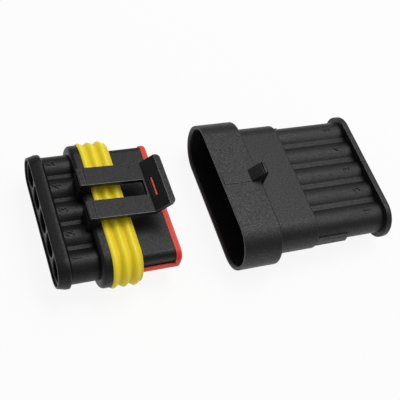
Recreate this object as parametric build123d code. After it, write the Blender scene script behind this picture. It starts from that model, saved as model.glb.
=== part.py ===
from build123d import *
import math
import os

# A five-way sealed connector, unplugged: a plug with its ring seal and latch, and the cap that it
# mates with. Millimetres. X runs along the mating axis, from the plug's wire end to the cap's.
# Y runs along the row of ways, and Z is up, with the latch on top. The pieces are drawn with X = 0
# at the plug's wire end and Z = 0 on the mating axis, and placed() then moves them to the frame.

# The ways
WAYS = 5
PITCH = 6.0
BORE_RADIUS = 2.65
BORE_DEPTH = 7.0
BORE_CHAMFER = 0.2
CAVITY_WIDTH = 3.0
CAVITY_HEIGHT = 2.8
TAB_WIDTH = 1.5
TAB_THICKNESS = 0.8
TAB_SLOT_CLEARANCE = 0.3
CONTACT_CLEARANCE = 0.15
CONTACT_SHEET = 0.3

# Plug housing
PLUG_BARREL_RADIUS = 3.55
PLUG_WEB_HALF_HEIGHT = 2.5
PLUG_BAND_LENGTH = 2.55
PLUG_BAND_RADIUS = 4.3
PLUG_BAND_FACE_RADIUS = 3.85
PLUG_BAND_TAPER = 1.7
PLUG_BAND_SLOPE = 0.5
COLLAR_RIM = 0.45
COLLAR_DEPTH = 0.4
FLANGE_START = 8.8
FLANGE_THICKNESS = 2.2
FLANGE_HALF_SPAN = 12.25
FLANGE_RADIUS = 5.2
FLANGE_ROUND = 0.9
CORE_RADIUS = 3.4
NOSE_FRONT = 25.5
NOSE_SIDE_INSET = 0.6
NOSE_TOP_INSET = 0.45
NOSE_CORNER = 1.7
NOSE_FOOT_CORNER = 2.0
NOSE_WALL = 1.7

# Ring seal
SEAL_LENGTH = 6.6
SEAL_CRESTS = 3
SEAL_PITCH = 2.3
SEAL_FIRST_CREST = 0.85
SEAL_CREST_ROUND = 0.95
SEAL_VALLEY_DEPTH = 0.6
SEAL_RUNNING_CLEARANCE = 0.05

# Plug lock
LOCK_PLATE = 1.35
LOCK_BEVEL = 0.25
LOCK_CLEARANCE = 0.05
LOCK_CORNER = 2.0
LOCK_FOOT_CORNER = 2.8
TRAY_WALL = 0.45
TRAY_LEDGE = 0.0
RAIL_WIDTH = 1.6
RAIL_HEIGHT = 0.35
RAIL_LENGTH = 5.0

# Latch lever
LATCH_HALF_WIDTH = 6.45
WINDOW_HALF_WIDTH = 1.93
PIVOT_X = 9.2
PIVOT_Z = 6.9
KNUCKLE_RADIUS = 0.85
KNUCKLE_CLEARANCE = 0.05
ARM_BACK = 8.1
ARM_TOP_BACK = 8.45
ARM_TOP_FRONT = 7.7
ARM_THICKNESS = 1.05
ARM_BEVEL = 0.6
BAR_TOP = 0.4
GROOVE_X = 9.5
GROOVE_WIDTH = 0.3
GROOVE_DEPTH = 0.15
THUMB_HEIGHT = 2.5
THUMB_ANGLE = 42.0
THUMB_THICKNESS = 1.0
THUMB_END = 0.13
THUMB_CORNER = 0.95
SLIT_LENGTH = 5.0
SLIT_WIDTH = 0.65
SLIT_RISE = 1.35
SLIT_OFFSET = 0.4
RISER_LENGTH = 2.4

# Cap housing
HOOD_HALF_SPAN = 12.45
HOOD_RADIUS = 6.4
HOOD_WALL = 0.95
HOOD_LENGTH = 9.2
HOOD_LEAD_IN = 0.45
HOOD_ROUND = 0.35
HOOD_END_WALL = 1.0
BODY_HALF_SPAN = 11.95
BODY_NOSE_ROOM = 0.4
BODY_WALL = 0.95
BODY_LENGTH = 10.1
BODY_ROUND = 0.3
FLOOR_WALL = 0.95
CAP_BARREL_RADIUS = 3.77
CAP_WEB_HALF_HEIGHT = 2.95
CAP_BARREL_LENGTH = 18.0
REAR_FLANGE_THICKNESS = 1.6
REAR_FLANGE_RADIUS = 5.1
REAR_FLANGE_HALF_SPAN = 11.85
REAR_FLANGE_ROUND = 0.55
SLOT_WALL = 1.6
GUIDE_HALF_WIDTH = 1.5
GUIDE_HEIGHT = 0.15
LUG_HALF_WIDTH = 1.55
LUG_LENGTH = 3.5
LUG_CREST = 0.85
LUG_FALL_LENGTH = 0.4
LUG_FALL = 0.3
LUG_GROOVE = 0.25
LUG_HEIGHT = 2.9
LUG_OVERHANG = 1.15
LATCH_CLEARANCE = 0.15
KEY_LENGTH = 8.1
KEY_CHAMFER = 1.0
KEY_HALF_HEIGHT = 0.95
KEY_REACH = 16.5
STUB_LENGTH = 2.9
STUB_REACH = 16.3

# Cap lock
CAP_LOCK_PLATE = 1.0
CAP_LOCK_EDGE_GAP = 0.2
FINGER_WIDTH = 1.2
FINGER_HEIGHT = 2.0
FINGER_LENGTH = 2.6
FINGER_CLEARANCE = 0.1
POCKET_SPARE = 0.5

# Contacts
BOX_LENGTH = 8.6
NECK_LENGTH = 1.2
NECK_HALF_WIDTH = 0.7
CRIMP_RADIUS = 1.15
CRIMP_OPENING = 70.0
TAB_STEP = 0.6
TAB_DEPTH = 8.1
TAB_CHAMFER = 0.35

# How the two halves stand
MATED_GAP = 0.3
REST_GAP = 13.15

# Places worked out from the sizes above
END_WAY = PITCH * (WAYS - 1) / 2
WAY_PLACES = [PITCH * way - END_WAY for way in range(WAYS)]
WEB_PLACES = [PITCH * (web + 0.5) - END_WAY for web in range(WAYS - 1)]
FLANGE_END = FLANGE_START + FLANGE_THICKNESS
NOSE_HALF_WIDTH = END_WAY + CORE_RADIUS - NOSE_SIDE_INSET
NOSE_HALF_HEIGHT = CORE_RADIUS - NOSE_TOP_INSET
BODY_RADIUS = NOSE_HALF_HEIGHT + LOCK_CLEARANCE + TRAY_WALL + BODY_NOSE_ROOM + BODY_WALL
SEAL_END = FLANGE_END + SEAL_LENGTH
HOOD_INNER_RADIUS = HOOD_RADIUS - HOOD_WALL
SEAL_RADIUS = HOOD_INNER_RADIUS - SEAL_RUNNING_CLEARANCE
CAVITY_FRONT = NOSE_FRONT - NOSE_WALL
SLOT_WIDTH = TAB_WIDTH + 2 * TAB_SLOT_CLEARANCE
SLOT_HEIGHT = TAB_THICKNESS + 2 * TAB_SLOT_CLEARANCE
PLUG_FRONT = NOSE_FRONT + LOCK_PLATE
MATED_MOUTH = FLANGE_END + MATED_GAP
MOUTH = PLUG_FRONT + REST_GAP
HOOD_END = MOUTH + HOOD_LENGTH
BODY_END = HOOD_END + BODY_LENGTH
FLOOR = BODY_END - FLOOR_WALL
BARREL_END = BODY_END + CAP_BARREL_LENGTH
CAP_END = BARREL_END + REAR_FLANGE_THICKNESS
WINDOW_END = MATED_MOUTH + HOOD_LENGTH + LUG_OVERHANG + LATCH_CLEARANCE
LUG_BACK = HOOD_END + LUG_OVERHANG
MATE_TRAVEL = MOUTH - MATED_MOUTH


def placed(shape):
    """Moves a piece from the drawing's zero to the frame: centred in X, with the hood on Z = 0."""
    return Pos(-CAP_END / 2, 0, HOOD_RADIUS) * shape


def section(*points):
    """A closed section in the plane of the mating axis, from points of distance along it and height."""
    return Plane.XZ * make_face(Polyline(*points, close=True))


def lap(face, half_span):
    """Carries a half section round a racetrack whose end centres stand at half_span each side of Y = 0."""
    near = Pos(0, -half_span, 0) * face
    far = Pos(0, half_span, 0) * face
    turned = revolve(near, Axis((0, -half_span, 0), (1, 0, 0)), 180)
    turned += revolve(far, Axis((0, half_span, 0), (-1, 0, 0)), 180)
    top = extrude(near, amount=2 * half_span, dir=(0, 1, 0))
    return turned + top + mirror(top, about=Plane.XY)


def racetrack(start, end, half_span, radius):
    """A straight length of racetrack section."""
    profile = Plane.YZ.offset(start) * SlotCenterToCenter(2 * half_span, 2 * radius)
    return extrude(profile, amount=end - start, dir=(1, 0, 0))


def block(start, end, near, far, bottom, top):
    """A plain block between two places along each axis."""
    middle = ((start + end) / 2, (near + far) / 2, (bottom + top) / 2)
    return Pos(*middle) * Box(end - start, far - near, top - bottom)


def tube_hole(start, end, radius, place):
    """A round hole along X at one way."""
    middle = Pos((start + end) / 2, place, 0)
    return middle * Cylinder(radius, end - start, rotation=(0, 90, 0))


def oblong(start, end, half_width, bottom, corner, foot_corner):
    """A straight length of an oblong with the nose's top, and one corner radius above and one below."""
    middle = (bottom + NOSE_HALF_HEIGHT) / 2
    face = Pos(0, middle) * Rectangle(2 * half_width, NOSE_HALF_HEIGHT - bottom)
    face = fillet(face.vertices().filter_by_position(Axis.Y, middle, NOSE_HALF_HEIGHT), corner)
    face = fillet(face.vertices().group_by(Axis.Y)[0], foot_corner)
    return extrude(Plane.YZ.offset(start) * face, amount=end - start, dir=(1, 0, 0))


def nose_length(start, end, spare=0.0):
    """A straight length of the nose's section, with some spare all round."""
    return oblong(
        start,
        end,
        NOSE_HALF_WIDTH + spare,
        -NOSE_HALF_HEIGHT - spare,
        NOSE_CORNER,
        NOSE_FOOT_CORNER + spare,
    )


def lock_length(start, end):
    """A straight length of the lock's section, which stands out from the nose by the tray's wall."""
    out = LOCK_CLEARANCE + TRAY_WALL
    return oblong(
        start,
        end,
        NOSE_HALF_WIDTH + out,
        -NOSE_HALF_HEIGHT - out,
        LOCK_CORNER,
        LOCK_FOOT_CORNER,
    )


def barrels(start, end, radius, web_half_height):
    """The row of round barrels, with the flat webs between them."""
    row = block(start, end, -END_WAY, END_WAY, -web_half_height, web_half_height)
    for place in WAY_PLACES:
        row += tube_hole(start, end, radius, place)
    return row


def wire_bores(face, inward, recess=0.0):
    """The round bores that take the wires and their seals, with chamfered mouths, cut inward from an end."""
    rim = recess + BORE_CHAMFER
    bores = []
    for place in WAY_PLACES:
        mouth = Plane.XZ * Pos(face, 0) * make_face(
            Polyline(
                (inward * recess, 0),
                (inward * recess, BORE_RADIUS + BORE_CHAMFER),
                (inward * rim, BORE_RADIUS),
                (inward * BORE_DEPTH, BORE_RADIUS),
                (inward * BORE_DEPTH, 0),
                close=True,
            )
        )
        bores.append(revolve(Pos(0, place, 0) * mouth, Axis((0, place, 0), (1, 0, 0)), 360))
    return bores


def cavities(start, end):
    """The oblong cavities that hold the contacts."""
    width = CAVITY_WIDTH / 2
    height = CAVITY_HEIGHT / 2
    return [block(start, end, place - width, place + width, -height, height) for place in WAY_PLACES]


def tab_slots(start, end):
    """The slots that the tabs pass through."""
    width = SLOT_WIDTH / 2
    height = SLOT_HEIGHT / 2
    return [block(start, end, place - width, place + width, -height, height) for place in WAY_PLACES]


def tray_shape(start, end):
    """The lock's tray, which wraps the lower part of the nose from outside."""
    outside = lock_length(start, end)
    upper = block(start, end, -2 * NOSE_HALF_WIDTH, 2 * NOSE_HALF_WIDTH, TRAY_LEDGE, 2 * NOSE_HALF_HEIGHT)
    return outside - upper - nose_length(start, end, LOCK_CLEARANCE)


def arm_sides():
    """The near and far side of each arm of the latch."""
    return [(-LATCH_HALF_WIDTH, -WINDOW_HALF_WIDTH), (WINDOW_HALF_WIDTH, LATCH_HALF_WIDTH)]


def arm_top(place):
    """Height of the arms' top face, which falls from the bevel at the back to the bar."""
    back = ARM_BACK + ARM_BEVEL
    front = WINDOW_END + BAR_TOP
    return ARM_TOP_BACK + (ARM_TOP_FRONT - ARM_TOP_BACK) * (place - back) / (front - back)


def latch_risers():
    """The two posts on the flange that carry the latch, each hollowed for its knuckle."""
    posts = []
    for near, far in arm_sides():
        post = block(
            PIVOT_X - RISER_LENGTH / 2, PIVOT_X + RISER_LENGTH / 2, near, far, PLUG_WEB_HALF_HEIGHT, PIVOT_Z
        )
        seat = Pos(PIVOT_X, 0, PIVOT_Z) * Cylinder(
            KNUCKLE_RADIUS + KNUCKLE_CLEARANCE, 2 * LATCH_HALF_WIDTH, rotation=(90, 0, 0)
        )
        posts.append(post - seat)
    return posts


def plug_housing():
    """Barrels, wire-end band, flange, seal seat, nose and latch posts, moulded in one."""
    shape = barrels(0, FLANGE_END, PLUG_BARREL_RADIUS, PLUG_WEB_HALF_HEIGHT)
    band = section(
        (0, 0),
        (0, PLUG_BAND_FACE_RADIUS),
        (PLUG_BAND_TAPER, PLUG_BAND_RADIUS),
        (PLUG_BAND_LENGTH, PLUG_BAND_RADIUS),
        (PLUG_BAND_LENGTH + PLUG_BAND_SLOPE, PLUG_BARREL_RADIUS),
        (PLUG_BAND_LENGTH + PLUG_BAND_SLOPE, 0),
    )
    shape += lap(band, END_WAY)
    flange = Plane.XZ * make_face(
        Polyline(
            (FLANGE_START + FLANGE_ROUND, FLANGE_RADIUS),
            (FLANGE_END, FLANGE_RADIUS),
            (FLANGE_END, 0),
            (FLANGE_START, 0),
            (FLANGE_START, FLANGE_RADIUS - FLANGE_ROUND),
        )
        + RadiusArc(
            (FLANGE_START, FLANGE_RADIUS - FLANGE_ROUND),
            (FLANGE_START + FLANGE_ROUND, FLANGE_RADIUS),
            FLANGE_ROUND,
        )
    )
    shape += lap(flange, FLANGE_HALF_SPAN)
    shape += racetrack(FLANGE_END, SEAL_END, END_WAY, CORE_RADIUS)
    shape += nose_length(FLANGE_END, NOSE_FRONT)
    for post in latch_risers():
        shape += post
    shape -= rail_shapes(LOCK_CLEARANCE)
    shape -= racetrack(0, COLLAR_DEPTH, END_WAY, PLUG_BAND_FACE_RADIUS - COLLAR_RIM)
    for bore in wire_bores(0, 1, COLLAR_DEPTH):
        shape -= bore
    for cavity in cavities(BORE_DEPTH, CAVITY_FRONT):
        shape -= cavity
    for slot in tab_slots(CAVITY_FRONT, NOSE_FRONT):
        shape -= slot
    return shape


def rail_shapes(clearance=0.0):
    """The rails of the tray, two of them between the outer ways, or the grooves in the nose for them."""
    rails = []
    floor = -NOSE_HALF_HEIGHT - LOCK_CLEARANCE
    for place in (WEB_PLACES[0], WEB_PLACES[-1]):
        rails.append(
            block(
                NOSE_FRONT - RAIL_LENGTH - clearance,
                NOSE_FRONT,
                place - RAIL_WIDTH / 2 - clearance,
                place + RAIL_WIDTH / 2 + clearance,
                floor,
                floor + RAIL_HEIGHT + clearance,
            )
        )
    return rails


def ring_seal():
    """The soft ring seal, with its lips round the outside and the housing's seat inside."""
    valley = SEAL_RADIUS - SEAL_VALLEY_DEPTH
    outline = Pos(FLANGE_END + SEAL_LENGTH / 2, valley / 2) * Rectangle(SEAL_LENGTH, valley)
    for crest in range(SEAL_CRESTS):
        middle = FLANGE_END + SEAL_FIRST_CREST + crest * SEAL_PITCH
        lip = Pos(middle, SEAL_RADIUS - SEAL_CREST_ROUND) * Circle(SEAL_CREST_ROUND)
        outline += lip
    room = Pos(FLANGE_END + SEAL_LENGTH / 2, SEAL_RADIUS / 2) * Rectangle(SEAL_LENGTH, SEAL_RADIUS)
    outline = Plane.XZ * (outline & room)
    ring = lap(outline, HOOD_HALF_SPAN)
    return ring - racetrack(FLANGE_END, SEAL_END, END_WAY, CORE_RADIUS)


def plug_lock_plate():
    """The lock pushed home over the nose: a front plate with the tab slots, and a tray under the nose."""
    plate = lock_length(NOSE_FRONT, PLUG_FRONT)
    front = plate.edges().filter_by_position(Axis.X, PLUG_FRONT, PLUG_FRONT)
    plate = chamfer(front, LOCK_BEVEL)
    shape = plate + tray_shape(SEAL_END + LOCK_CLEARANCE, NOSE_FRONT)
    for rail in rail_shapes():
        shape += rail
    for slot in tab_slots(NOSE_FRONT, PLUG_FRONT):
        shape -= slot
    return shape


def latch_lever():
    """Two arms from the posts to a bar, and the plate that turns up from it for the thumb."""
    rise = math.radians(THUMB_ANGLE)
    along = Vector(math.cos(rise), math.sin(rise))
    across = Vector(math.sin(rise), -math.cos(rise))
    bar_front = Vector(WINDOW_END + BAR_TOP, ARM_TOP_FRONT)
    tip = bar_front + along * (THUMB_HEIGHT / math.sin(rise))
    sole = bar_front + across * THUMB_THICKNESS
    sole_end = sole + along * ((tip.Y - THUMB_END - sole.Y) / math.sin(rise))
    under = ARM_TOP_FRONT - ARM_THICKNESS
    heel = sole - along * ((sole.Y - under) / math.sin(rise))
    profile = section(
        (ARM_BACK, ARM_TOP_BACK - ARM_THICKNESS),
        (ARM_BACK, ARM_TOP_BACK - ARM_BEVEL),
        (ARM_BACK + ARM_BEVEL, ARM_TOP_BACK),
        (bar_front.X, bar_front.Y),
        (tip.X, tip.Y),
        (sole_end.X, tip.Y),
        (sole_end.X, sole_end.Y),
        (heel.X, heel.Y),
        (WINDOW_END, under),
    )
    shape = extrude(Pos(0, LATCH_HALF_WIDTH, 0) * profile, amount=2 * LATCH_HALF_WIDTH, dir=(0, -1, 0))
    corners = shape.edges().filter_by(Axis.Z).filter_by_position(Axis.X, sole_end.X, sole_end.X)
    shape = fillet(corners, THUMB_CORNER)
    below = under - ARM_THICKNESS
    shape -= block(ARM_BACK, WINDOW_END, -WINDOW_HALF_WIDTH, WINDOW_HALF_WIDTH, below, ARM_TOP_BACK)
    shape -= block(
        GROOVE_X - GROOVE_WIDTH / 2,
        GROOVE_X + GROOVE_WIDTH / 2,
        -LATCH_HALF_WIDTH,
        LATCH_HALF_WIDTH,
        arm_top(GROOVE_X) - GROOVE_DEPTH,
        ARM_TOP_BACK,
    )
    slit_place = bar_front + along * SLIT_RISE
    slit = Box(SLIT_WIDTH, SLIT_LENGTH, 2 * THUMB_THICKNESS / math.cos(rise))
    shape -= Pos(slit_place.X, -SLIT_OFFSET, slit_place.Y) * Rot(0, -THUMB_ANGLE, 0) * slit
    for near, far in arm_sides():
        knuckle = Cylinder(KNUCKLE_RADIUS, far - near, rotation=(90, 0, 0))
        neck = block(
            PIVOT_X - KNUCKLE_RADIUS,
            PIVOT_X + KNUCKLE_RADIUS,
            near,
            far,
            PIVOT_Z,
            ARM_TOP_BACK - ARM_THICKNESS,
        )
        shape += Pos(PIVOT_X, (near + far) / 2, PIVOT_Z) * knuckle
        shape += neck
    return shape


def cap_outside():
    """The cap's outer form: hood, body, barrels with webs and the rear flange."""
    shape = racetrack(MOUTH, HOOD_END, HOOD_HALF_SPAN, HOOD_RADIUS)
    rims = shape.edges().filter_by_position(Axis.X, HOOD_END - 0.01, HOOD_END + 0.01)
    shape = fillet(rims, HOOD_ROUND)
    body = racetrack(MOUTH + HOOD_LENGTH / 2, BODY_END, BODY_HALF_SPAN, BODY_RADIUS)
    rims = body.edges().filter_by_position(Axis.X, BODY_END - 0.01, BODY_END + 0.01)
    shape += fillet(rims, BODY_ROUND)
    shape += barrels(HOOD_END, BARREL_END, CAP_BARREL_RADIUS, CAP_WEB_HALF_HEIGHT)
    flange = racetrack(BARREL_END, CAP_END, REAR_FLANGE_HALF_SPAN, REAR_FLANGE_RADIUS)
    rims = flange.edges().filter_by_position(Axis.X, CAP_END - 0.01, CAP_END + 0.01)
    shape += fillet(rims, REAR_FLANGE_ROUND)
    return shape


def catch_lug():
    """The guide strip on the hood and the wedge behind it that the latch drops over."""
    strip = block(
        MOUTH + HOOD_ROUND,
        LUG_BACK - LUG_LENGTH / 2,
        -GUIDE_HALF_WIDTH,
        GUIDE_HALF_WIDTH,
        HOOD_RADIUS - HOOD_WALL / 2,
        HOOD_RADIUS + GUIDE_HEIGHT,
    )
    top = HOOD_RADIUS + LUG_HEIGHT
    crest = LUG_BACK - LUG_CREST
    profile = section(
        (LUG_BACK - LUG_LENGTH, BODY_RADIUS - BODY_WALL / 2),
        (LUG_BACK - LUG_LENGTH, HOOD_RADIUS + GUIDE_HEIGHT),
        (crest, top),
        (LUG_BACK - LUG_FALL_LENGTH, top),
        (LUG_BACK, top - LUG_FALL),
        (LUG_BACK, BODY_RADIUS - BODY_WALL / 2),
    )
    wedge = extrude(Pos(0, LUG_HALF_WIDTH, 0) * profile, amount=2 * LUG_HALF_WIDTH, dir=(0, -1, 0))
    wedge -= block(crest - LUG_GROOVE, crest, -LUG_HALF_WIDTH, LUG_HALF_WIDTH, top - 1.6 * LUG_GROOVE, top)
    return strip + wedge


def key_ribs():
    """The long key rib on the near side, chamfered at its end, and the short one on the far side."""
    root = -END_WAY
    outline = Polyline(
        (BODY_END - FLOOR_WALL / 2, root),
        (BODY_END - FLOOR_WALL / 2, -KEY_REACH),
        (BODY_END + KEY_LENGTH, -KEY_REACH),
        (BODY_END + KEY_LENGTH + KEY_CHAMFER, -KEY_REACH + KEY_CHAMFER),
        (BODY_END + KEY_LENGTH + KEY_CHAMFER, root),
        close=True,
    )
    rib = extrude(Pos(0, 0, -KEY_HALF_HEIGHT) * make_face(outline), amount=2 * KEY_HALF_HEIGHT, dir=(0, 0, 1))
    stub = block(
        BODY_END - FLOOR_WALL / 2,
        BODY_END + STUB_LENGTH,
        END_WAY,
        STUB_REACH,
        -KEY_HALF_HEIGHT,
        KEY_HALF_HEIGHT,
    )
    return rib + stub


def finger_shapes(start, end, clearance=0.0):
    """The cap lock's fingers between the ways, or the pockets that take them."""
    width = FINGER_WIDTH / 2 + clearance
    height = FINGER_HEIGHT / 2 + clearance
    return [block(start, end, place - width, place + width, -height, height) for place in WEB_PLACES]


def cap_housing():
    """The cap: a hood that takes the seal, a body that takes the nose, and a barrel for each wire."""
    shape = cap_outside() + catch_lug() + key_ribs()
    hood_room = section(
        (MOUTH, 0),
        (MOUTH, HOOD_INNER_RADIUS + HOOD_LEAD_IN),
        (MOUTH + HOOD_LEAD_IN, HOOD_INNER_RADIUS),
        (HOOD_END - HOOD_END_WALL, HOOD_INNER_RADIUS),
        (HOOD_END - HOOD_END_WALL, 0),
    )
    shape -= lap(hood_room, HOOD_HALF_SPAN)
    shape -= racetrack(MOUTH, FLOOR, BODY_HALF_SPAN, BODY_RADIUS - BODY_WALL)
    for pocket in finger_shapes(FLOOR, FLOOR + FINGER_LENGTH + POCKET_SPARE, FINGER_CLEARANCE):
        shape -= pocket
    for slot in tab_slots(FLOOR, FLOOR + SLOT_WALL):
        shape -= slot
    for cavity in cavities(FLOOR + SLOT_WALL, CAP_END - BORE_DEPTH):
        shape -= cavity
    for bore in wire_bores(CAP_END, -1):
        shape -= bore
    return shape


def cap_lock_plate():
    """The lock at the bottom of the hood: a plate for the tabs to pass through, with fingers between ways."""
    front = FLOOR - LOCK_CLEARANCE - CAP_LOCK_PLATE
    back = FLOOR - LOCK_CLEARANCE
    shape = racetrack(front, back, BODY_HALF_SPAN, BODY_RADIUS - BODY_WALL - CAP_LOCK_EDGE_GAP)
    for finger in finger_shapes(back, back + FINGER_LENGTH):
        shape += finger
    for slot in tab_slots(front, back):
        shape -= slot
    return shape


def crimp(start, end):
    """The open crimp barrel at a contact's wire end."""
    tube = Cylinder(CRIMP_RADIUS, end - start, rotation=(0, 90, 0))
    tube -= Cylinder(CRIMP_RADIUS - CONTACT_SHEET, end - start, rotation=(0, 90, 0))
    opening = 2 * CRIMP_RADIUS * math.sin(math.radians(CRIMP_OPENING / 2))
    tube -= Pos(0, 0, CRIMP_RADIUS) * Box(end - start, opening, 2 * CRIMP_RADIUS)
    return Pos((start + end) / 2, 0, 0) * tube


def receptacle_contact(place):
    """A folded sheet box that takes the tab, a neck and a crimp for the wire."""
    front = CAVITY_FRONT - LOCK_CLEARANCE
    back = front - BOX_LENGTH
    width = CAVITY_WIDTH / 2 - CONTACT_CLEARANCE
    height = CAVITY_HEIGHT / 2 - CONTACT_CLEARANCE
    box = block(back, front, -width, width, -height, height)
    inside_width = width - CONTACT_SHEET
    inside_height = height - CONTACT_SHEET
    box -= block(back, front, -inside_width, inside_width, -inside_height, inside_height)
    neck_back = back - NECK_LENGTH
    neck = block(
        neck_back - CONTACT_SHEET,
        back + CONTACT_SHEET,
        -NECK_HALF_WIDTH,
        NECK_HALF_WIDTH,
        -height,
        CONTACT_SHEET - height,
    )
    barrel = Pos(0, 0, CRIMP_RADIUS - height) * crimp(BORE_DEPTH + CONTACT_CLEARANCE, neck_back)
    return Pos(0, place, 0) * (box + neck + barrel)


def tab_contact(place):
    """A flat tab that stands in the hood, its shoulder in the cavity and a crimp for the wire."""
    tip = MOUTH + TAB_DEPTH
    shoulder = FLOOR + SLOT_WALL + LOCK_CLEARANCE
    shoulder_end = shoulder + NECK_LENGTH
    side = TAB_WIDTH / 2
    face = TAB_THICKNESS / 2
    tab = block(tip, shoulder + TAB_STEP, -side, side, -face, face)
    tip_edges = tab.edges().filter_by_position(Axis.X, tip - 0.01, tip + 0.01)
    tab = chamfer(tip_edges, TAB_CHAMFER)
    width = CAVITY_WIDTH / 2 - CONTACT_CLEARANCE
    height = CAVITY_HEIGHT / 2 - CONTACT_CLEARANCE
    step = block(shoulder, shoulder_end, -width, width, -height, height)
    barrel = crimp(shoulder_end, CAP_END - BORE_DEPTH - CONTACT_CLEARANCE)
    return Pos(0, place, 0) * (tab + step + barrel)


def build():
    """Every piece by its name."""
    pieces = {
        "plug_housing": plug_housing(),
        "latch_lever": latch_lever(),
        "ring_seal": ring_seal(),
        "plug_lock_plate": plug_lock_plate(),
        "cap_housing": cap_housing(),
        "cap_lock_plate": cap_lock_plate(),
    }
    for number, place in enumerate(WAY_PLACES, start=1):
        pieces[f"receptacle_contact_{number}"] = receptacle_contact(place)
        pieces[f"tab_contact_{number}"] = tab_contact(place)
    return pieces


os.makedirs("parts", exist_ok=True)
for name, piece in build().items():
    export_step(placed(piece), f"parts/{name}.step")
print("mate travel", round(MATE_TRAVEL, 3), "cap mouth at", round(MOUTH - CAP_END / 2, 3))
print("latch pivot at", round(PIVOT_X - CAP_END / 2, 3), round(PIVOT_Z + HOOD_RADIUS, 3))
lock_room = FLOOR - LOCK_CLEARANCE - CAP_LOCK_PLATE - MATE_TRAVEL - PLUG_FRONT
print("room for both locks to travel", round(lock_room, 3))
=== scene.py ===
# %% [markdown]
# # A five-way sealed connector, unplugged
# The object is a small moulded connector in two halves. On the left lies the plug, with a yellow
# ring seal, a red lock and a latch on top. On the right lies the cap, whose hood closes over the
# seal. The solids come from the CAD frame. This lesson gives them their light, finish and edges.

# %% Load the CAD frame
import math

import bmesh
import bpy
from mathutils import Matrix, Vector


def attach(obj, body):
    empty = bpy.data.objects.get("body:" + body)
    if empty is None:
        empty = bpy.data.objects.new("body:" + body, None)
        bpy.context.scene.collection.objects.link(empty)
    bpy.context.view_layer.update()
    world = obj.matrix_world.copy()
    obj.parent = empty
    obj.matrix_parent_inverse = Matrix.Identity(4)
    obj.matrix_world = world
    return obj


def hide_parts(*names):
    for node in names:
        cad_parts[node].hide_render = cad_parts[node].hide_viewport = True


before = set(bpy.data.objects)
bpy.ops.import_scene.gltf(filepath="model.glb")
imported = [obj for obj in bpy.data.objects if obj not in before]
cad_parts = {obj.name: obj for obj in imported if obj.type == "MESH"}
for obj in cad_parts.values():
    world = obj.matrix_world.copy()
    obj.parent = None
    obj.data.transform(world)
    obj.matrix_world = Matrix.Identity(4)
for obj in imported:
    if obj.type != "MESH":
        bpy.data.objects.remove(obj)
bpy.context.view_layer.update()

MM = 0.001

# %% [markdown]
# ## Camera
# The photograph looks down steeply from the plug's end, with the camera turned a little about its
# own axis. A camera could be aimed by eye, but the two halves would then hardly line up together.
# This one was found by fitting edges of both halves to their real sizes, so it is given as a point
# in space and three angles. The lens is a long one, as product photographs use.

# %% Camera
CAMERA_PLACE = Vector((-73.195, -93.496, 157.178)) * MM
CAMERA_AZIMUTH = math.radians(36.959)
CAMERA_ELEVATION = math.radians(52.325)
CAMERA_ROLL = math.radians(22.431)
CAMERA_LENS = 75.98


def camera_axes(azimuth, elevation, roll):
    """The camera's right, up and forward directions."""
    level = math.cos(elevation)
    forward = Vector((math.sin(azimuth) * level, math.cos(azimuth) * level, -math.sin(elevation)))
    right = Vector((math.cos(azimuth), -math.sin(azimuth), 0))
    turn = Matrix.Rotation(roll, 3, -forward)
    return turn @ right, turn @ right.cross(forward), forward


bpy.ops.object.select_all(action="DESELECT")
bpy.ops.object.camera_add(location=CAMERA_PLACE)
camera = bpy.context.object
camera.name = "camera"
right, up, forward = camera_axes(CAMERA_AZIMUTH, CAMERA_ELEVATION, CAMERA_ROLL)
camera.rotation_mode = "QUATERNION"
camera.rotation_quaternion = Matrix((right, up, -forward)).transposed().to_quaternion()
camera.data.lens = CAMERA_LENS
camera.data.clip_start = 1 * MM
bpy.context.scene.camera = camera
print("camera height in mm:", round(camera.location.z / MM, 1))

# %% [markdown]
# ## Helpers for materials
# Every finish below is built from shader nodes. One function turns a hex colour into the linear
# colour that shaders work in, one adds a node with its settings and links, and one starts a
# material with a Principled shader. Patterns run on Object coordinates, so they keep their real
# size in mm and stay on a piece when it moves.


# %% Colour and node helpers
def linear(code):
    """An sRGB hex colour as linear red, green, blue and alpha."""
    values = [int(code[place : place + 2], 16) / 255 for place in (1, 3, 5)]
    return [v / 12.92 if v <= 0.04045 else ((v + 0.055) / 1.055) ** 2.4 for v in values] + [1.0]


def add_node(tree, kind, inputs=None, **settings):
    """Adds one node with its settings; each named input takes a value or another node's output."""
    node = tree.nodes.new(kind)
    for name, value in settings.items():
        setattr(node, name, value)
    for name, value in (inputs or {}).items():
        if isinstance(value, bpy.types.NodeSocket):
            tree.links.new(value, node.inputs[name])
        else:
            node.inputs[name].default_value = value
    return node


def new_material(name):
    """An empty material, its node tree and its Principled shader, joined to the output."""
    material = bpy.data.materials.new(name)
    material.use_nodes = True
    tree = material.node_tree
    tree.nodes.clear()
    shader = add_node(tree, "ShaderNodeBsdfPrincipled")
    add_node(tree, "ShaderNodeOutputMaterial", {"Surface": shader.outputs["BSDF"]})
    return material, tree, shader


print("a middle grey in linear light:", round(linear("#808080")[0], 3))

# %% [markdown]
# ## Black housings: PBT, glass filled, moulded in a spark-eroded tool
# The tool's fine texture leaves the black plastic matt, with soft wide highlights and a faint
# grain. The plug and the cap come from two tools, and the cap's texture is a little coarser and
# paler. A grain made only by relief turns the black grey, because every small slope then catches
# some white. So the relief is slight here and most of the grain is in the gloss: the tops of the
# texture are smoother and shine more, and its pits shine less.

# %% Black plastic
# A real spark-eroded grain is about 0.1 mm. It is drawn about three times coarser, so that it
# still shows at the size of the picture.
PLUG_GRAIN = 0.30
CAP_GRAIN = 0.34
CLOUD_SIZE = 6.0
# The middle of the noise's range, where nearly all its values lie.
GRAIN_LOW, GRAIN_HIGH = 0.36, 0.64
GLOSS_SWING = 0.04
SHINE_SWING = 0.22


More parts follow.
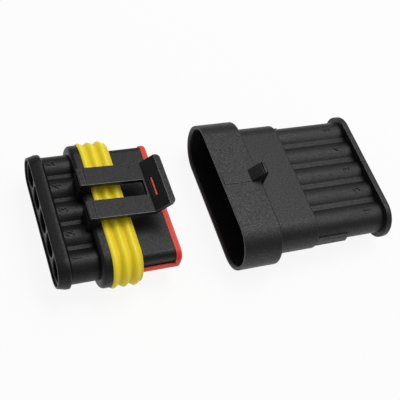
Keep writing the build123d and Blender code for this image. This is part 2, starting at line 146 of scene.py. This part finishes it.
def moulded_black(name, shade, grain_mm, roughness, depth_mm, specular):
    """Textured black plastic: matt and a little cloudy, with a fine grain that sparkles softly."""
    material, tree, shader = new_material(name)
    place = add_node(tree, "ShaderNodeTexCoord").outputs["Object"]
    grain = add_node(
        tree,
        "ShaderNodeTexNoise",
        {"Vector": place, "Scale": 1 / (grain_mm * MM), "Detail": 2.0},
    ).outputs["Fac"]
    cloud = add_node(
        tree,
        "ShaderNodeTexNoise",
        {"Vector": place, "Scale": 1 / (CLOUD_SIZE * MM), "Detail": 3.0},
    ).outputs["Fac"]
    tone = add_node(
        tree,
        "ShaderNodeMix",
        {"Factor": cloud, "A": linear(shade[0]), "B": linear(shade[1])},
        data_type="RGBA",
    )
    tree.links.new(tone.outputs["Result"], shader.inputs["Base Color"])
    for socket, pits, tops in (
        ("Roughness", roughness + GLOSS_SWING, roughness - GLOSS_SWING),
        ("Specular IOR Level", specular * (1 - SHINE_SWING), specular * (1 + SHINE_SWING)),
    ):
        span = {"From Min": GRAIN_LOW, "From Max": GRAIN_HIGH, "To Min": pits, "To Max": tops}
        level = add_node(tree, "ShaderNodeMapRange", {"Value": grain, **span})
        tree.links.new(level.outputs["Result"], shader.inputs[socket])
    relief = add_node(
        tree, "ShaderNodeBump", {"Height": grain, "Distance": depth_mm * MM, "Strength": 1.0}
    )
    tree.links.new(relief.outputs["Normal"], shader.inputs["Normal"])
    return material


plug_black = moulded_black("pbt_black_plug", ("#0b0b0c", "#121213"), PLUG_GRAIN, 0.44, 0.02, 0.29)
cap_black = moulded_black("pbt_black_cap", ("#0f0f10", "#171718"), CAP_GRAIN, 0.46, 0.03, 0.41)
print("black finishes:", plug_black.name, cap_black.name)

# %% [markdown]
# ### The same plastic where it is rubbed, with a painted highlight
# Hands, boxes and the other half polish the outer edges. There the texture is worn down, so the
# edge is smoother and glossier. Its paler colour is a painted highlight, which draws the thin
# light line that a rounded edge shows. The latch's edges are handled most, so they are the
# glossiest and get the palest painted highlight. The wear could be found by the shader from the
# mesh's curvature, but a finish of its own on each rounded edge is plainer and stays sharp at any
# size of picture.

# %% Rubbed black plastic with a painted highlight
# The paler shades of these three are a painted highlight along the rounded edges; their lower
# roughness and higher shine are the rubbed wear.
plug_wear_and_highlight = moulded_black(
    "pbt_black_plug_wear_and_highlight", ("#111112", "#19191a"), PLUG_GRAIN, 0.38, 0.015, 0.38
)
latch_wear_and_highlight = moulded_black(
    "pbt_black_latch_wear_and_highlight", ("#1a1a1b", "#242425"), PLUG_GRAIN, 0.30, 0.015, 0.65
)
cap_wear_and_highlight = moulded_black(
    "pbt_black_cap_wear_and_highlight", ("#141415", "#1e1e1f"), CAP_GRAIN, 0.38, 0.02, 0.42
)
print("rubbed finishes:", plug_wear_and_highlight.name, latch_wear_and_highlight.name, cap_wear_and_highlight.name)

# %% [markdown]
# ## Ring seal: silicone rubber, moulded
# Silicone is smooth and a little waxy, with a soft gloss. Light enters it and comes out again
# beside, mostly from the thin lips, while the hollows between them look deeper and warmer. That
# could be left to the light inside the rubber alone, but the lips are too fine for it. So a wave
# along the plug, as long as from lip to lip, paints that light and shade into the colour: painted
# light makes the yellow paler on each lip, and painted shade makes it deeper and warmer in the
# hollows. A faint cloud keeps it from looking printed.

# %% A wave that follows the lips, for the painted light and shade
WIRE_END = -39.45
LIP_PITCH = 2.3
MIDDLE_LIP = 13.9
RUBBER_CLOUD = 4.0
CLOUD_PART = 0.5
HOLLOW_LEVEL, LIP_LEVEL = -0.75, 1.0


def lip_light_share(tree, place):
    """A value of 0 in the seal's hollows and 1 on its lips, with a faint cloud in it; it places
    the painted shade and the painted light.
    """
    along = add_node(tree, "ShaderNodeSeparateXYZ", {"Vector": place}).outputs["X"]
    turns = 2 * math.pi / (LIP_PITCH * MM)
    angle = add_node(
        tree,
        "ShaderNodeMath",
        {0: along, 1: turns, 2: -turns * (WIRE_END + MIDDLE_LIP) * MM},
        operation="MULTIPLY_ADD",
    )
    wave = add_node(tree, "ShaderNodeMath", {0: angle.outputs["Value"]}, operation="COSINE")
    cloud = add_node(
        tree,
        "ShaderNodeTexNoise",
        {"Vector": place, "Scale": 1 / (RUBBER_CLOUD * MM), "Detail": 2.0},
    )
    uneven = add_node(
        tree,
        "ShaderNodeMath",
        {0: cloud.outputs["Fac"], 1: CLOUD_PART, 2: wave.outputs["Value"]},
        operation="MULTIPLY_ADD",
    ).outputs["Value"]
    span = {"From Min": HOLLOW_LEVEL, "From Max": LIP_LEVEL}
    return add_node(tree, "ShaderNodeMapRange", {"Value": uneven, **span}).outputs["Result"]


print("lips stand every", LIP_PITCH, "mm")


# %% Silicone
def silicone(hollow, lip):
    """Yellow rubber: warm with painted shade in the hollows, pale with painted light on the lips,
    and lit a little from inside.
    """
    material, tree, shader = new_material("silicone_yellow")
    place = add_node(tree, "ShaderNodeTexCoord").outputs["Object"]
    tone = add_node(
        tree,
        "ShaderNodeMix",
        {"Factor": lip_light_share(tree, place), "A": linear(hollow), "B": linear(lip)},
        data_type="RGBA",
    )
    tree.links.new(tone.outputs["Result"], shader.inputs["Base Color"])
    shader.inputs["Roughness"].default_value = 0.5
    shader.inputs["Specular IOR Level"].default_value = 0.35
    shader.inputs["Subsurface Weight"].default_value = 0.15
    shader.inputs["Subsurface Scale"].default_value = 0.25 * MM
    shader.inputs["Subsurface Radius"].default_value = (1.0, 0.7, 0.2)
    return material


# The first yellow is the painted shade of the hollows, the second the painted light on the lips.
yellow_silicone = silicone("#eccf16", "#fee834")
print("seal finish:", yellow_silicone.name)

# %% [markdown]
# ## Locks: PBT, unfilled, moulded red
# The lock has no glass in it, so it takes a smoother face than the housings: a clean bright red
# with a broad soft sheen. An even red would look like paint, so the shade and the surface both
# carry the same faint orange-peel. The outer edges are rubbed as well, so they are glossier there,
# and their lighter red is a painted highlight.

# %% Red plastic
PEEL_SIZE = 0.4
PEEL_DEPTH = 0.008


def moulded_red(name, shade, roughness):
    """Smooth red plastic: nearly even, with a faint orange-peel that breaks up its sheen."""
    material, tree, shader = new_material(name)
    place = add_node(tree, "ShaderNodeTexCoord").outputs["Object"]
    peel = add_node(
        tree,
        "ShaderNodeTexNoise",
        {"Vector": place, "Scale": 1 / (PEEL_SIZE * MM), "Detail": 2.0},
    ).outputs["Fac"]
    tone = add_node(
        tree,
        "ShaderNodeMix",
        {"Factor": peel, "A": linear(shade[0]), "B": linear(shade[1])},
        data_type="RGBA",
    )
    relief = add_node(
        tree, "ShaderNodeBump", {"Height": peel, "Distance": PEEL_DEPTH * MM, "Strength": 1.0}
    )
    tree.links.new(tone.outputs["Result"], shader.inputs["Base Color"])
    tree.links.new(relief.outputs["Normal"], shader.inputs["Normal"])
    shader.inputs["Roughness"].default_value = roughness
    shader.inputs["Specular IOR Level"].default_value = 0.3
    shader.inputs["Subsurface Weight"].default_value = 0.1
    shader.inputs["Subsurface Scale"].default_value = 0.4 * MM
    return material


red_plastic = moulded_red("pbt_red", ("#e23420", "#ea3e28"), 0.45)
# The lighter red of the rubbed edges is a painted highlight; their lower roughness is the wear.
red_wear_and_highlight = moulded_red("pbt_red_wear_and_highlight", ("#ea5a48", "#f06450"), 0.38)
print("lock finishes:", red_plastic.name, red_wear_and_highlight.name)

# %% [markdown]
# ## Contacts: brass sheet, tin plated
# Tin is a soft white metal. Rolling and stamping leave faint lines along the strip, and they make
# the gloss uneven rather than the colour. The lines could be relief, but at this size that only
# sparkles. So they are a noise that is stretched along the contact and sets the roughness.

# %% Tin plate
LINE_WIDTH = 0.15
LINE_STRETCH = 20
TIN_GLOSSY, TIN_DULL = 0.22, 0.42


def tin_plate():
    """Plated strip: a pale grey metal whose reflections are drawn out along it."""
    material, tree, shader = new_material("tin_plated_brass")
    place = add_node(tree, "ShaderNodeTexCoord").outputs["Object"]
    drawn = add_node(
        tree, "ShaderNodeMapping", {"Vector": place, "Scale": (1 / LINE_STRETCH, 1.0, 1.0)}
    )
    lines = add_node(
        tree,
        "ShaderNodeTexNoise",
        {"Vector": drawn.outputs["Vector"], "Scale": 1 / (LINE_WIDTH * MM), "Detail": 2.0},
    )
    gloss = add_node(
        tree,
        "ShaderNodeMapRange",
        {"Value": lines.outputs["Fac"], "To Min": TIN_GLOSSY, "To Max": TIN_DULL},
    )
    tree.links.new(gloss.outputs["Result"], shader.inputs["Roughness"])
    shader.inputs["Base Color"].default_value = linear("#cfccc4")
    shader.inputs["Metallic"].default_value = 1.0
    return material


tin = tin_plate()
print("contact finish:", tin.name)

# %% [markdown]
# ## The solids take their finish
# Each solid is one moulding or one stamping, so it has one material all over. The solids' names
# say what they are, and the finish follows from the name.


# %% Give each CAD node its finish
def finish_of(node):
    """The material of a CAD node, by its name."""
    if "contact" in node:
        return tin
    if "seal" in node:
        return yellow_silicone
    if "lock" in node:
        return red_plastic
    if node.startswith("cap"):
        return cap_black
    return plug_black


for name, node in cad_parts.items():
    node.data.materials.clear()
    node.data.materials.append(finish_of(name))
print("finished nodes:", len(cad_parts))

# %% [markdown]
# ## Places and picking
# Lengths below are in mm on the plug's own drawing: x from its wire end, y across the ways and z
# from the axis that both halves mate on. One function turns such a place into the frame's metres.
# Another picks points in edit mode by where they are, as a hand would click them.

# %% Places and picking
AXIS_HEIGHT = 6.4


def at(x, y, z):
    """A place in mm from the plug's wire end and the mating axis, in the frame's metres."""
    return Vector((x + WIRE_END, y, z + AXIS_HEIGHT)) * MM


def pick_points(wanted):
    """In edit mode, selects only the points whose place passes a test, and counts them."""
    bpy.ops.mesh.select_mode(type="VERT")
    bpy.ops.mesh.select_all(action="DESELECT")
    mesh = bpy.context.edit_object.data
    net = bmesh.from_edit_mesh(mesh)
    found = [point for point in net.verts if wanted(point.co)]
    for point in found:
        point.select_set(True)
    bmesh.update_edit_mesh(mesh)
    return len(found)


print("the mating axis stands at", AXIS_HEIGHT, "mm")

# %% [markdown]
# ## Moulded edges
# No moulded edge is sharp. The tool's inside corners are cut round, and what stands out gets
# rubbed, so an outer edge is smoother than the textured faces, and a painted highlight makes it a
# thin line a little paler than them. The solids come with bare edges and many small triangles. So
# a copy of each is merged into one skin first, and its flat faces are joined up, which leaves only
# the edges that are really there.

# %% Merge a copy of a moulding
MERGE_REACH = 0.001
FLAT_TURN = math.radians(0.05)


def only(piece):
    """Selects one object alone and makes it active."""
    bpy.ops.object.select_all(action="DESELECT")
    piece.select_set(True)
    bpy.context.view_layer.objects.active = piece


def merged_copy(node, name):
    """A copy of a CAD node's mesh as one closed skin, with its flat faces joined up."""
    piece = bpy.data.objects.new(name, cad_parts[node].data.copy())
    bpy.context.scene.collection.objects.link(piece)
    only(piece)
    triangles = len(piece.data.polygons)
    bpy.ops.mesh.customdata_custom_splitnormals_clear()
    bpy.ops.object.mode_set(mode="EDIT")
    bpy.ops.mesh.select_all(action="SELECT")
    bpy.ops.mesh.remove_doubles(threshold=MERGE_REACH * MM)
    bpy.ops.mesh.dissolve_limited(angle_limit=FLAT_TURN)
    bpy.ops.object.mode_set(mode="OBJECT")
    print(name, "merged from", triangles, "triangles to", len(piece.data.polygons), "faces")
    return piece


# %% [markdown]
# ### Which edges get rounded
# An edge could be picked by hand, but these mouldings have hundreds of them. So each edge that
# stands out and turns by more than a set angle is marked in code. Inner corners stay crisp and
# dark. The bores at both wire ends keep sharp rims too, with no painted highlight, because nothing
# rubs inside them.

# %% Mark the edges that stand out
WAY_PITCH = 6.0
BORE_RADIUS = 2.65
BORE_ROOM = 0.1
BORE_DEPTH = 9.0
SHARP_TURN = math.radians(32)


def on_a_bore(edge):
    """True for an edge in a way's bore near either wire end."""
    middle = (edge.verts[0].co + edge.verts[1].co) / 2
    if abs(middle.x) < (-WIRE_END - BORE_DEPTH) * MM:
        return False
    across = middle.y - WAY_PITCH * MM * round(middle.y / (WAY_PITCH * MM))
    return math.hypot(across, middle.z - AXIS_HEIGHT * MM) < (BORE_RADIUS + BORE_ROOM) * MM


def mark_outer_edges(piece):
    """Gives full bevel weight to every edge that stands out, and counts them."""
    net = bmesh.new()
    net.from_mesh(piece.data)
    weight = net.edges.layers.float.new("bevel_weight_edge")
    outer = [edge for edge in net.edges if edge.is_convex and not on_a_bore(edge)]
    sharp = [edge for edge in outer if edge.calc_face_angle(0) > SHARP_TURN]
    for edge in sharp:
        edge[weight] = 1.0
    net.to_mesh(piece.data)
    net.free()
    return len(sharp)


print("edges are marked above", round(math.degrees(SHARP_TURN)), "degrees")

# %% [markdown]
# ### Rounding them
# The Bevel modifier rounds the marked edges alone and gives the rounding the rubbed finish, whose
# paler colour is a painted highlight. Its clamp would shrink every edge of a moulding to suit the
# shortest one, so it is off. The Weighted Normal modifier then keeps the flat faces flat to the
# eye beside their roundings.

# %% Round the edges of a moulding
ROUND_SEGMENTS = 2


def round_edges(piece, radius_mm, edge_wear_and_highlight):
    """Rounds the edges of a piece that stand out, and gives the rounding a finish of its own:
    rubbed, with a painted highlight.
    """
    only(piece)
    marked = mark_outer_edges(piece)
    piece.data.materials.append(edge_wear_and_highlight)
    bevel = piece.modifiers.new("round", "BEVEL")
    bevel.width = radius_mm * MM
    bevel.segments = ROUND_SEGMENTS
    bevel.limit_method = "WEIGHT"
    bevel.use_clamp_overlap = False
    bevel.material = len(piece.data.materials) - 1
    bpy.ops.object.modifier_apply(modifier=bevel.name)
    bpy.ops.object.shade_smooth_by_angle(angle=SHARP_TURN)
    weigh = piece.modifiers.new("weigh", "WEIGHTED_NORMAL")
    weigh.keep_sharp = True
    weigh.weight = 100
    bpy.ops.object.modifier_apply(modifier=weigh.name)
    print(piece.name, "edges rounded:", marked, "faces:", len(piece.data.polygons))


# %% [markdown]
# ### Both housings and both locks
# These four are rigid mouldings, and they need nothing but their edges. The plug's lock has the
# fullest rounding, because it is the part that a thumb pushes. Each piece then takes the place of
# its solid and rides on the same body.


# %% Round the housings and the locks
def stand_for(piece, node, body):
    """Lets a piece ride on a body in place of a CAD node."""
    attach(piece, body)
    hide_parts(node)


# The last column is each rounding's rubbed finish, whose paler colour is a painted highlight.
for node, name, body, slot, radius, finish in (
    ("plug_housing", "plug_moulding", "plug", "black_housing", 0.12, plug_wear_and_highlight),
    ("plug_lock_plate", "plug_lock_moulding", "plug_lock", "red_lock", 0.14, red_wear_and_highlight),
    ("cap_housing", "cap_moulding", "cap", "black_housing", 0.12, cap_wear_and_highlight),
    ("cap_lock_plate", "cap_lock_moulding", "cap_lock", "red_lock", 0.10, red_wear_and_highlight),
):
    moulding = merged_copy(node, name)
    round_edges(moulding, radius, finish)
    stand_for(moulding, node, body)

# %% [markdown]
# ### Latch
# The latch is two arms, a bar and a plate that turns up for the thumb. On the real one the arms
# end square over their posts, with one thin groove across each. The solid has a long slope there
# instead. The latch could be modelled anew, but only that slope is different. So the slope's upper
# points are pushed back and its lower points are pushed up, which leaves a small slope.

# %% Square up the ends of the latch's arms
SLOPE_TOP, TOP_MOVE = (8.7, 8.45), (-0.4, 0, 0.02)
SLOPE_FOOT, FOOT_MOVE = (8.1, 7.85), (0, 0, 0.42)
PICK_REACH = 0.03


def on_line(x, z):
    """A test for points on a line across the plug, at one place along it and one height."""
    line = at(x, 0, z)
    return lambda point: math.hypot(point.x - line.x, point.z - line.z) < PICK_REACH * MM


latch = merged_copy("latch_lever", "latch_moulding")
bpy.ops.object.mode_set(mode="EDIT")
for line, move in ((SLOPE_TOP, TOP_MOVE), (SLOPE_FOOT, FOOT_MOVE)):
    moved = pick_points(on_line(*line))
    bpy.ops.transform.translate(value=Vector(move) * MM)
    print("points moved at the arms' ends:", moved)
bpy.ops.object.mode_set(mode="OBJECT")
# The latch's rubbed finish carries the palest painted highlight.
round_edges(latch, 0.12, latch_wear_and_highlight)
stand_for(latch, "latch_lever", "latch")

# %% [markdown]
# ## Ring seal: three lips round the plug
# The seal is one closed ring of rubber, as long as its seat and oblong like the hood that it
# seals. Its outside is a row of three round lips, with a narrower hollow between each two. It
# could be turned as a profile round each end, but then the straight runs would be separate. Here a
# circle that faces along the plug is extruded from station to station, and made wider or narrower
# at each. The two half rings are drawn apart afterwards, which leaves the straight runs above and
# below. First the stations are planned, as a place along the plug and a radius for each.

# %% Plan the seal's stations
FLANGE_FACE = 11.0
SEAL_FRONT = 17.6
LIP_RADIUS = 5.4
HOLLOW_RADIUS = 4.78
LIP_STEPS = 12
# Below 1 this widens the lips and narrows the hollows.
LIP_FULLNESS = 0.8
# The front edge is bevelled over this length, between these two radii.
FRONT_BEVEL = 0.15
BEVEL_RADIUS, FRONT_RADIUS = 4.83, 4.65


def seal_stations():
    """Place along the plug and radius, from the flange's face over the lips to the front face."""
    stations = []
    for lip in (MIDDLE_LIP - LIP_PITCH, MIDDLE_LIP, MIDDLE_LIP + LIP_PITCH):
        for step in range(-LIP_STEPS // 2, LIP_STEPS // 2):
            offset = LIP_PITCH * step / LIP_STEPS
            share = ((1 + math.cos(2 * math.pi * offset / LIP_PITCH)) / 2) ** LIP_FULLNESS
            if lip + offset > FLANGE_FACE - 0.01:
                radius = HOLLOW_RADIUS + (LIP_RADIUS - HOLLOW_RADIUS) * share
                stations.append((lip + offset, radius))
    return stations + [(SEAL_FRONT - FRONT_BEVEL, BEVEL_RADIUS), (SEAL_FRONT, FRONT_RADIUS)]


stations = seal_stations()
print("seal stations:", len(stations))

# %% [markdown]
# ### The seal's outside
# The circle starts on the flange's face. It is turned by half of one point's step, so that no
# point lies on the line where the ring is parted later. Each extrusion moves the newest loop to
# the next station, and a resize about the axis gives it that station's radius.

# %% Draw the seal's outside
RING_POINTS = 72

now_place, now_radius = stations[0]
bpy.ops.object.select_all(action="DESELECT")
bpy.ops.mesh.primitive_circle_add(
    vertices=RING_POINTS,
    radius=now_radius * MM,
    location=at(now_place, 0, 0),
    rotation=(0, math.pi / 2, 0),
)
seal = bpy.context.object
seal.name = "seal_ring"
bpy.ops.object.transform_apply(location=True, rotation=True, scale=True)
bpy.ops.object.mode_set(mode="EDIT")
bpy.ops.transform.rotate(
    value=math.pi / RING_POINTS, orient_axis="X", center_override=at(0, 0, 0)
)
for place, radius in stations[1:]:
    step = ((place - now_place) * MM, 0, 0)
    bpy.ops.mesh.extrude_region_move(TRANSFORM_OT_translate={"value": step})
    grow = radius / now_radius
    bpy.ops.transform.resize(value=(1, grow, grow), center_override=at(place, 0, 0))
    now_place, now_radius = place, radius
print("points on the seal's outside:", len(stations) * RING_POINTS)

# %% [markdown]
# ### The seal's inside
# The last loop is drawn in to the seat's radius and then back to the flange, inside the ring. A
# bridge to the first loop closes the rubber all round.

# %% Draw the seal's inside
SEAL_CORE = 3.4

bpy.ops.mesh.extrude_region_move()
shrink = SEAL_CORE / now_radius
bpy.ops.transform.resize(value=(1, shrink, shrink), center_override=at(SEAL_FRONT, 0, 0))
back = ((stations[0][0] - SEAL_FRONT) * MM, 0, 0)
bpy.ops.mesh.extrude_region_move(TRANSFORM_OT_translate={"value": back})
bpy.ops.mesh.select_mode(type="EDGE")
bpy.ops.mesh.select_all(action="DESELECT")
bpy.ops.mesh.select_non_manifold(extend=False)
bpy.ops.mesh.bridge_edge_loops()
print("seal closed round a core of radius", SEAL_CORE, "mm")

# %% [markdown]
# ### Drawing the halves apart
# The ring's left and right halves move away from each other across the ways. The outside goes a
# little further than the inside, so the rubber is a little thicker at both ends and fills the hood
# there. The outside also goes first. Moved in the other order, the inside's points would lie where
# the outside is looked for, and would be caught a second time.

# %% Draw the halves apart
OUTER_SPAN = 12.45
INNER_SPAN = 12.0
CORE_REACH = SEAL_CORE + 0.2


def in_half(side, inner):
    """A test for the points of one half ring, either on the seal's inside or on its outside."""

    def test(point):
        away = math.hypot(point.y, point.z - AXIS_HEIGHT * MM)
        return point.y * side > 0 and (away < CORE_REACH * MM) == inner

    return test


for inner, span in ((False, OUTER_SPAN), (True, INNER_SPAN)):
    for side in (-1, 1):
        moved = pick_points(in_half(side, inner))
        bpy.ops.transform.translate(value=(0, side * span * MM, 0))
        print("seal points moved:", moved)

# %% [markdown]
# ### The seal's skin
# Extruding and bridging can leave faces turned inwards, so they are all turned out together. The
# lips are then shaded smooth, and only the edges at the front and the back stay sharp.

# %% Finish the seal
bpy.ops.mesh.select_all(action="SELECT")
bpy.ops.mesh.normals_make_consistent(inside=False)
bpy.ops.object.mode_set(mode="OBJECT")
bpy.ops.object.shade_smooth_by_angle(angle=math.radians(50))
seal.data.materials.append(yellow_silicone)
stand_for(seal, "ring_seal", "plug")
print("seal faces:", len(seal.data.polygons))

# %% [markdown]
# ## Way numbers
# Each way has its number on its barrel, on both halves, so that the same circuits meet. On the
# real mouldings the numbers are cut shallow into the tool and stand up from the plastic by a few
# hundredths of a millimetre. They could be joined to the barrels, but a figure that is sunk into
# the crest looks the same and leaves the moulding's skin whole. So each is a text, given a little
# depth and made a mesh, and laid so deep in its barrel that only its top shows.

# %% Draw one number
# A figure is this share of its font's size.
FIGURE_SHARE = 0.7
# Half the depth of a figure, and the extra width of its strokes.
FIGURE_DEPTH = 0.17
FIGURE_SWELL = 0.02


def way_number(name, digit, x, y, z, height_mm, material):
    """One figure on top of a barrel, its depth centred on z, its head to the plug's wire end."""
    bpy.ops.object.select_all(action="DESELECT")
    bpy.ops.object.text_add()
    piece = bpy.context.object
    piece.name = name
    piece.data.body = digit
    piece.data.align_x = "CENTER"
    piece.data.align_y = "CENTER"
    piece.data.size = height_mm / FIGURE_SHARE * MM
    piece.data.offset = FIGURE_SWELL * MM
    piece.data.extrude = FIGURE_DEPTH * MM
    piece.data.resolution_u = 3
    bpy.ops.object.convert(target="MESH")
    piece = bpy.context.object
    piece.location = at(x, y, z)
    piece.rotation_euler = (0, 0, math.pi / 2)
    bpy.ops.object.transform_apply(location=True, rotation=True, scale=True)
    bpy.ops.object.mode_set(mode="EDIT")
    bpy.ops.mesh.select_all(action="SELECT")
    bpy.ops.mesh.remove_doubles(threshold=MERGE_REACH / 2 * MM)
    bpy.ops.mesh.normals_make_consistent(inside=False)
    bpy.ops.object.mode_set(mode="OBJECT")
    piece.data.materials.append(material)
    return piece


print("a figure is", 2 * FIGURE_DEPTH, "mm deep")

# %% [markdown]
# ### The numbers of both halves
# The five stand in line across each half, one on every barrel, and read the same way round on
# both. Those on the cap are a little smaller.

# %% Number the barrels
WAYS = 5
PLUG_NUMBERS = {"x": 4.6, "z": 3.57, "height_mm": 1.8, "material": plug_black}
CAP_NUMBERS = {"x": 73.4, "z": 3.79, "height_mm": 1.7, "material": cap_black}

for way in range(WAYS):
    digit = str(way + 1)
    y = WAY_PITCH * (way - (WAYS - 1) / 2)
    on_plug = way_number("plug_number_" + digit, digit, y=y, **PLUG_NUMBERS)
    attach(on_plug, "plug")
    on_cap = way_number("cap_number_" + digit, digit, y=y, **CAP_NUMBERS)
    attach(on_cap, "cap")
print("numbers:", 2 * WAYS)

# %% [markdown]
# ## Floor
# The photograph has a plain white ground. More light could make a pale floor white, but it would
# grey the black plastic as well. So the sheet shows a white of its own to the camera, to
# reflections and through glass, mixed with a little of what the lamps give it, which keeps the
# shadow. It lies a hair below the object, so that the two never share a face.

# %% White ground
FLOOR_GLOW = 0.9


def white_ground():
    """A matt white sheet that mostly shows its own white, with a soft shadow in it."""
    material, tree, shader = new_material("white_ground")
    shader.inputs["Base Color"].default_value = linear("#f2f2f2")
    shader.inputs["Roughness"].default_value = 0.9
    path = add_node(tree, "ShaderNodeLightPath")
    seen = path.outputs["Is Camera Ray"]
    for ray in ("Is Glossy Ray", "Is Transmission Ray"):
        inputs = {0: seen, 1: path.outputs[ray]}
        total = add_node(tree, "ShaderNodeMath", inputs, operation="ADD", use_clamp=True)
        seen = total.outputs["Value"]
    share = add_node(tree, "ShaderNodeMath", {0: seen, 1: FLOOR_GLOW}, operation="MULTIPLY")
    glow = add_node(tree, "ShaderNodeEmission", {"Color": linear("#ffffff"), "Strength": 1.0})
    mixed = add_node(
        tree,
        "ShaderNodeMixShader",
        {"Fac": share.outputs["Value"], 1: shader.outputs["BSDF"], 2: glow.outputs["Emission"]},
    )
    output = next(node for node in tree.nodes if node.type == "OUTPUT_MATERIAL")
    tree.links.new(mixed.outputs["Shader"], output.inputs["Surface"])
    return material


ground = white_ground()
print("floor finish:", ground.name)

# %% Lay the floor
FLOOR_RADIUS = 6.0
FLOOR_DROP = 0.02

bpy.ops.object.select_all(action="DESELECT")
bpy.ops.mesh.primitive_circle_add(
    vertices=96, radius=FLOOR_RADIUS, fill_type="NGON", location=(0, 0, -FLOOR_DROP * MM)
)
floor = bpy.context.object
floor.name = "floor"
bpy.ops.object.transform_apply(location=True, rotation=True, scale=True)
floor.data.materials.append(ground)
print("floor radius in m:", FLOOR_RADIUS)

# %% [markdown]
# ## Studio lamps
# Black plastic is seen by what it reflects, so the lamps stand where the photograph's highlights
# ask for them. A wide lamp nearly overhead gives the flat tops their even grey. One to the right
# brings up the crests of the barrels and the hood's near bend, and a faint one behind lifts the
# far faces. All three are large, for soft shadows.

# %% Lamps
LOOK_AT = Vector((0, 0, 6 * MM))


def soft_lamp(name, place_mm, size_mm, watts):
    """A square lamp that faces the object."""
    place = Vector(place_mm) * MM
    bpy.ops.object.light_add(type="AREA", location=place)
    lamp = bpy.context.object
    lamp.name = name
    lamp.data.size = size_mm * MM
    lamp.data.energy = watts
    lamp.rotation_mode = "QUATERNION"
    lamp.rotation_quaternion = (LOOK_AT - place).to_track_quat("-Z", "Y")
    print(name, "at a distance of", round(place.length / MM), "mm")


soft_lamp("key_lamp", (100, 130, 490), 240, 1.02)
soft_lamp("right_lamp", (265, -75, 425), 280, 0.46)
soft_lamp("back_lamp", (190, 250, 405), 300, 0.26)

# %% [markdown]
# ## Sky
# A dim white sky fills the shadows. The camera sees it as full white above the floor's rim. It
# stays dim in reflections, because a white sky all round would turn the black plastic grey.

# %% World
SKY_LIGHT = 0.31

world = bpy.data.worlds.new("studio")
bpy.context.scene.world = world
world.use_nodes = True
sky_tree = world.node_tree
sky_tree.nodes.clear()
path = add_node(sky_tree, "ShaderNodeLightPath")
seen = add_node(
    sky_tree,
    "ShaderNodeMath",
    {0: path.outputs["Is Camera Ray"], 1: path.outputs["Is Transmission Ray"]},
    operation="ADD",
    use_clamp=True,
)
level = add_node(
    sky_tree, "ShaderNodeMapRange", {"Value": seen.outputs["Value"], "To Min": SKY_LIGHT}
)
sky = add_node(
    sky_tree,
    "ShaderNodeBackground",
    {"Color": linear("#ffffff"), "Strength": level.outputs["Result"]},
)
add_node(sky_tree, "ShaderNodeOutputWorld", {"Surface": sky.outputs["Background"]})
bpy.context.scene.view_settings.view_transform = "Standard"
print("sky strength on the object:", SKY_LIGHT)
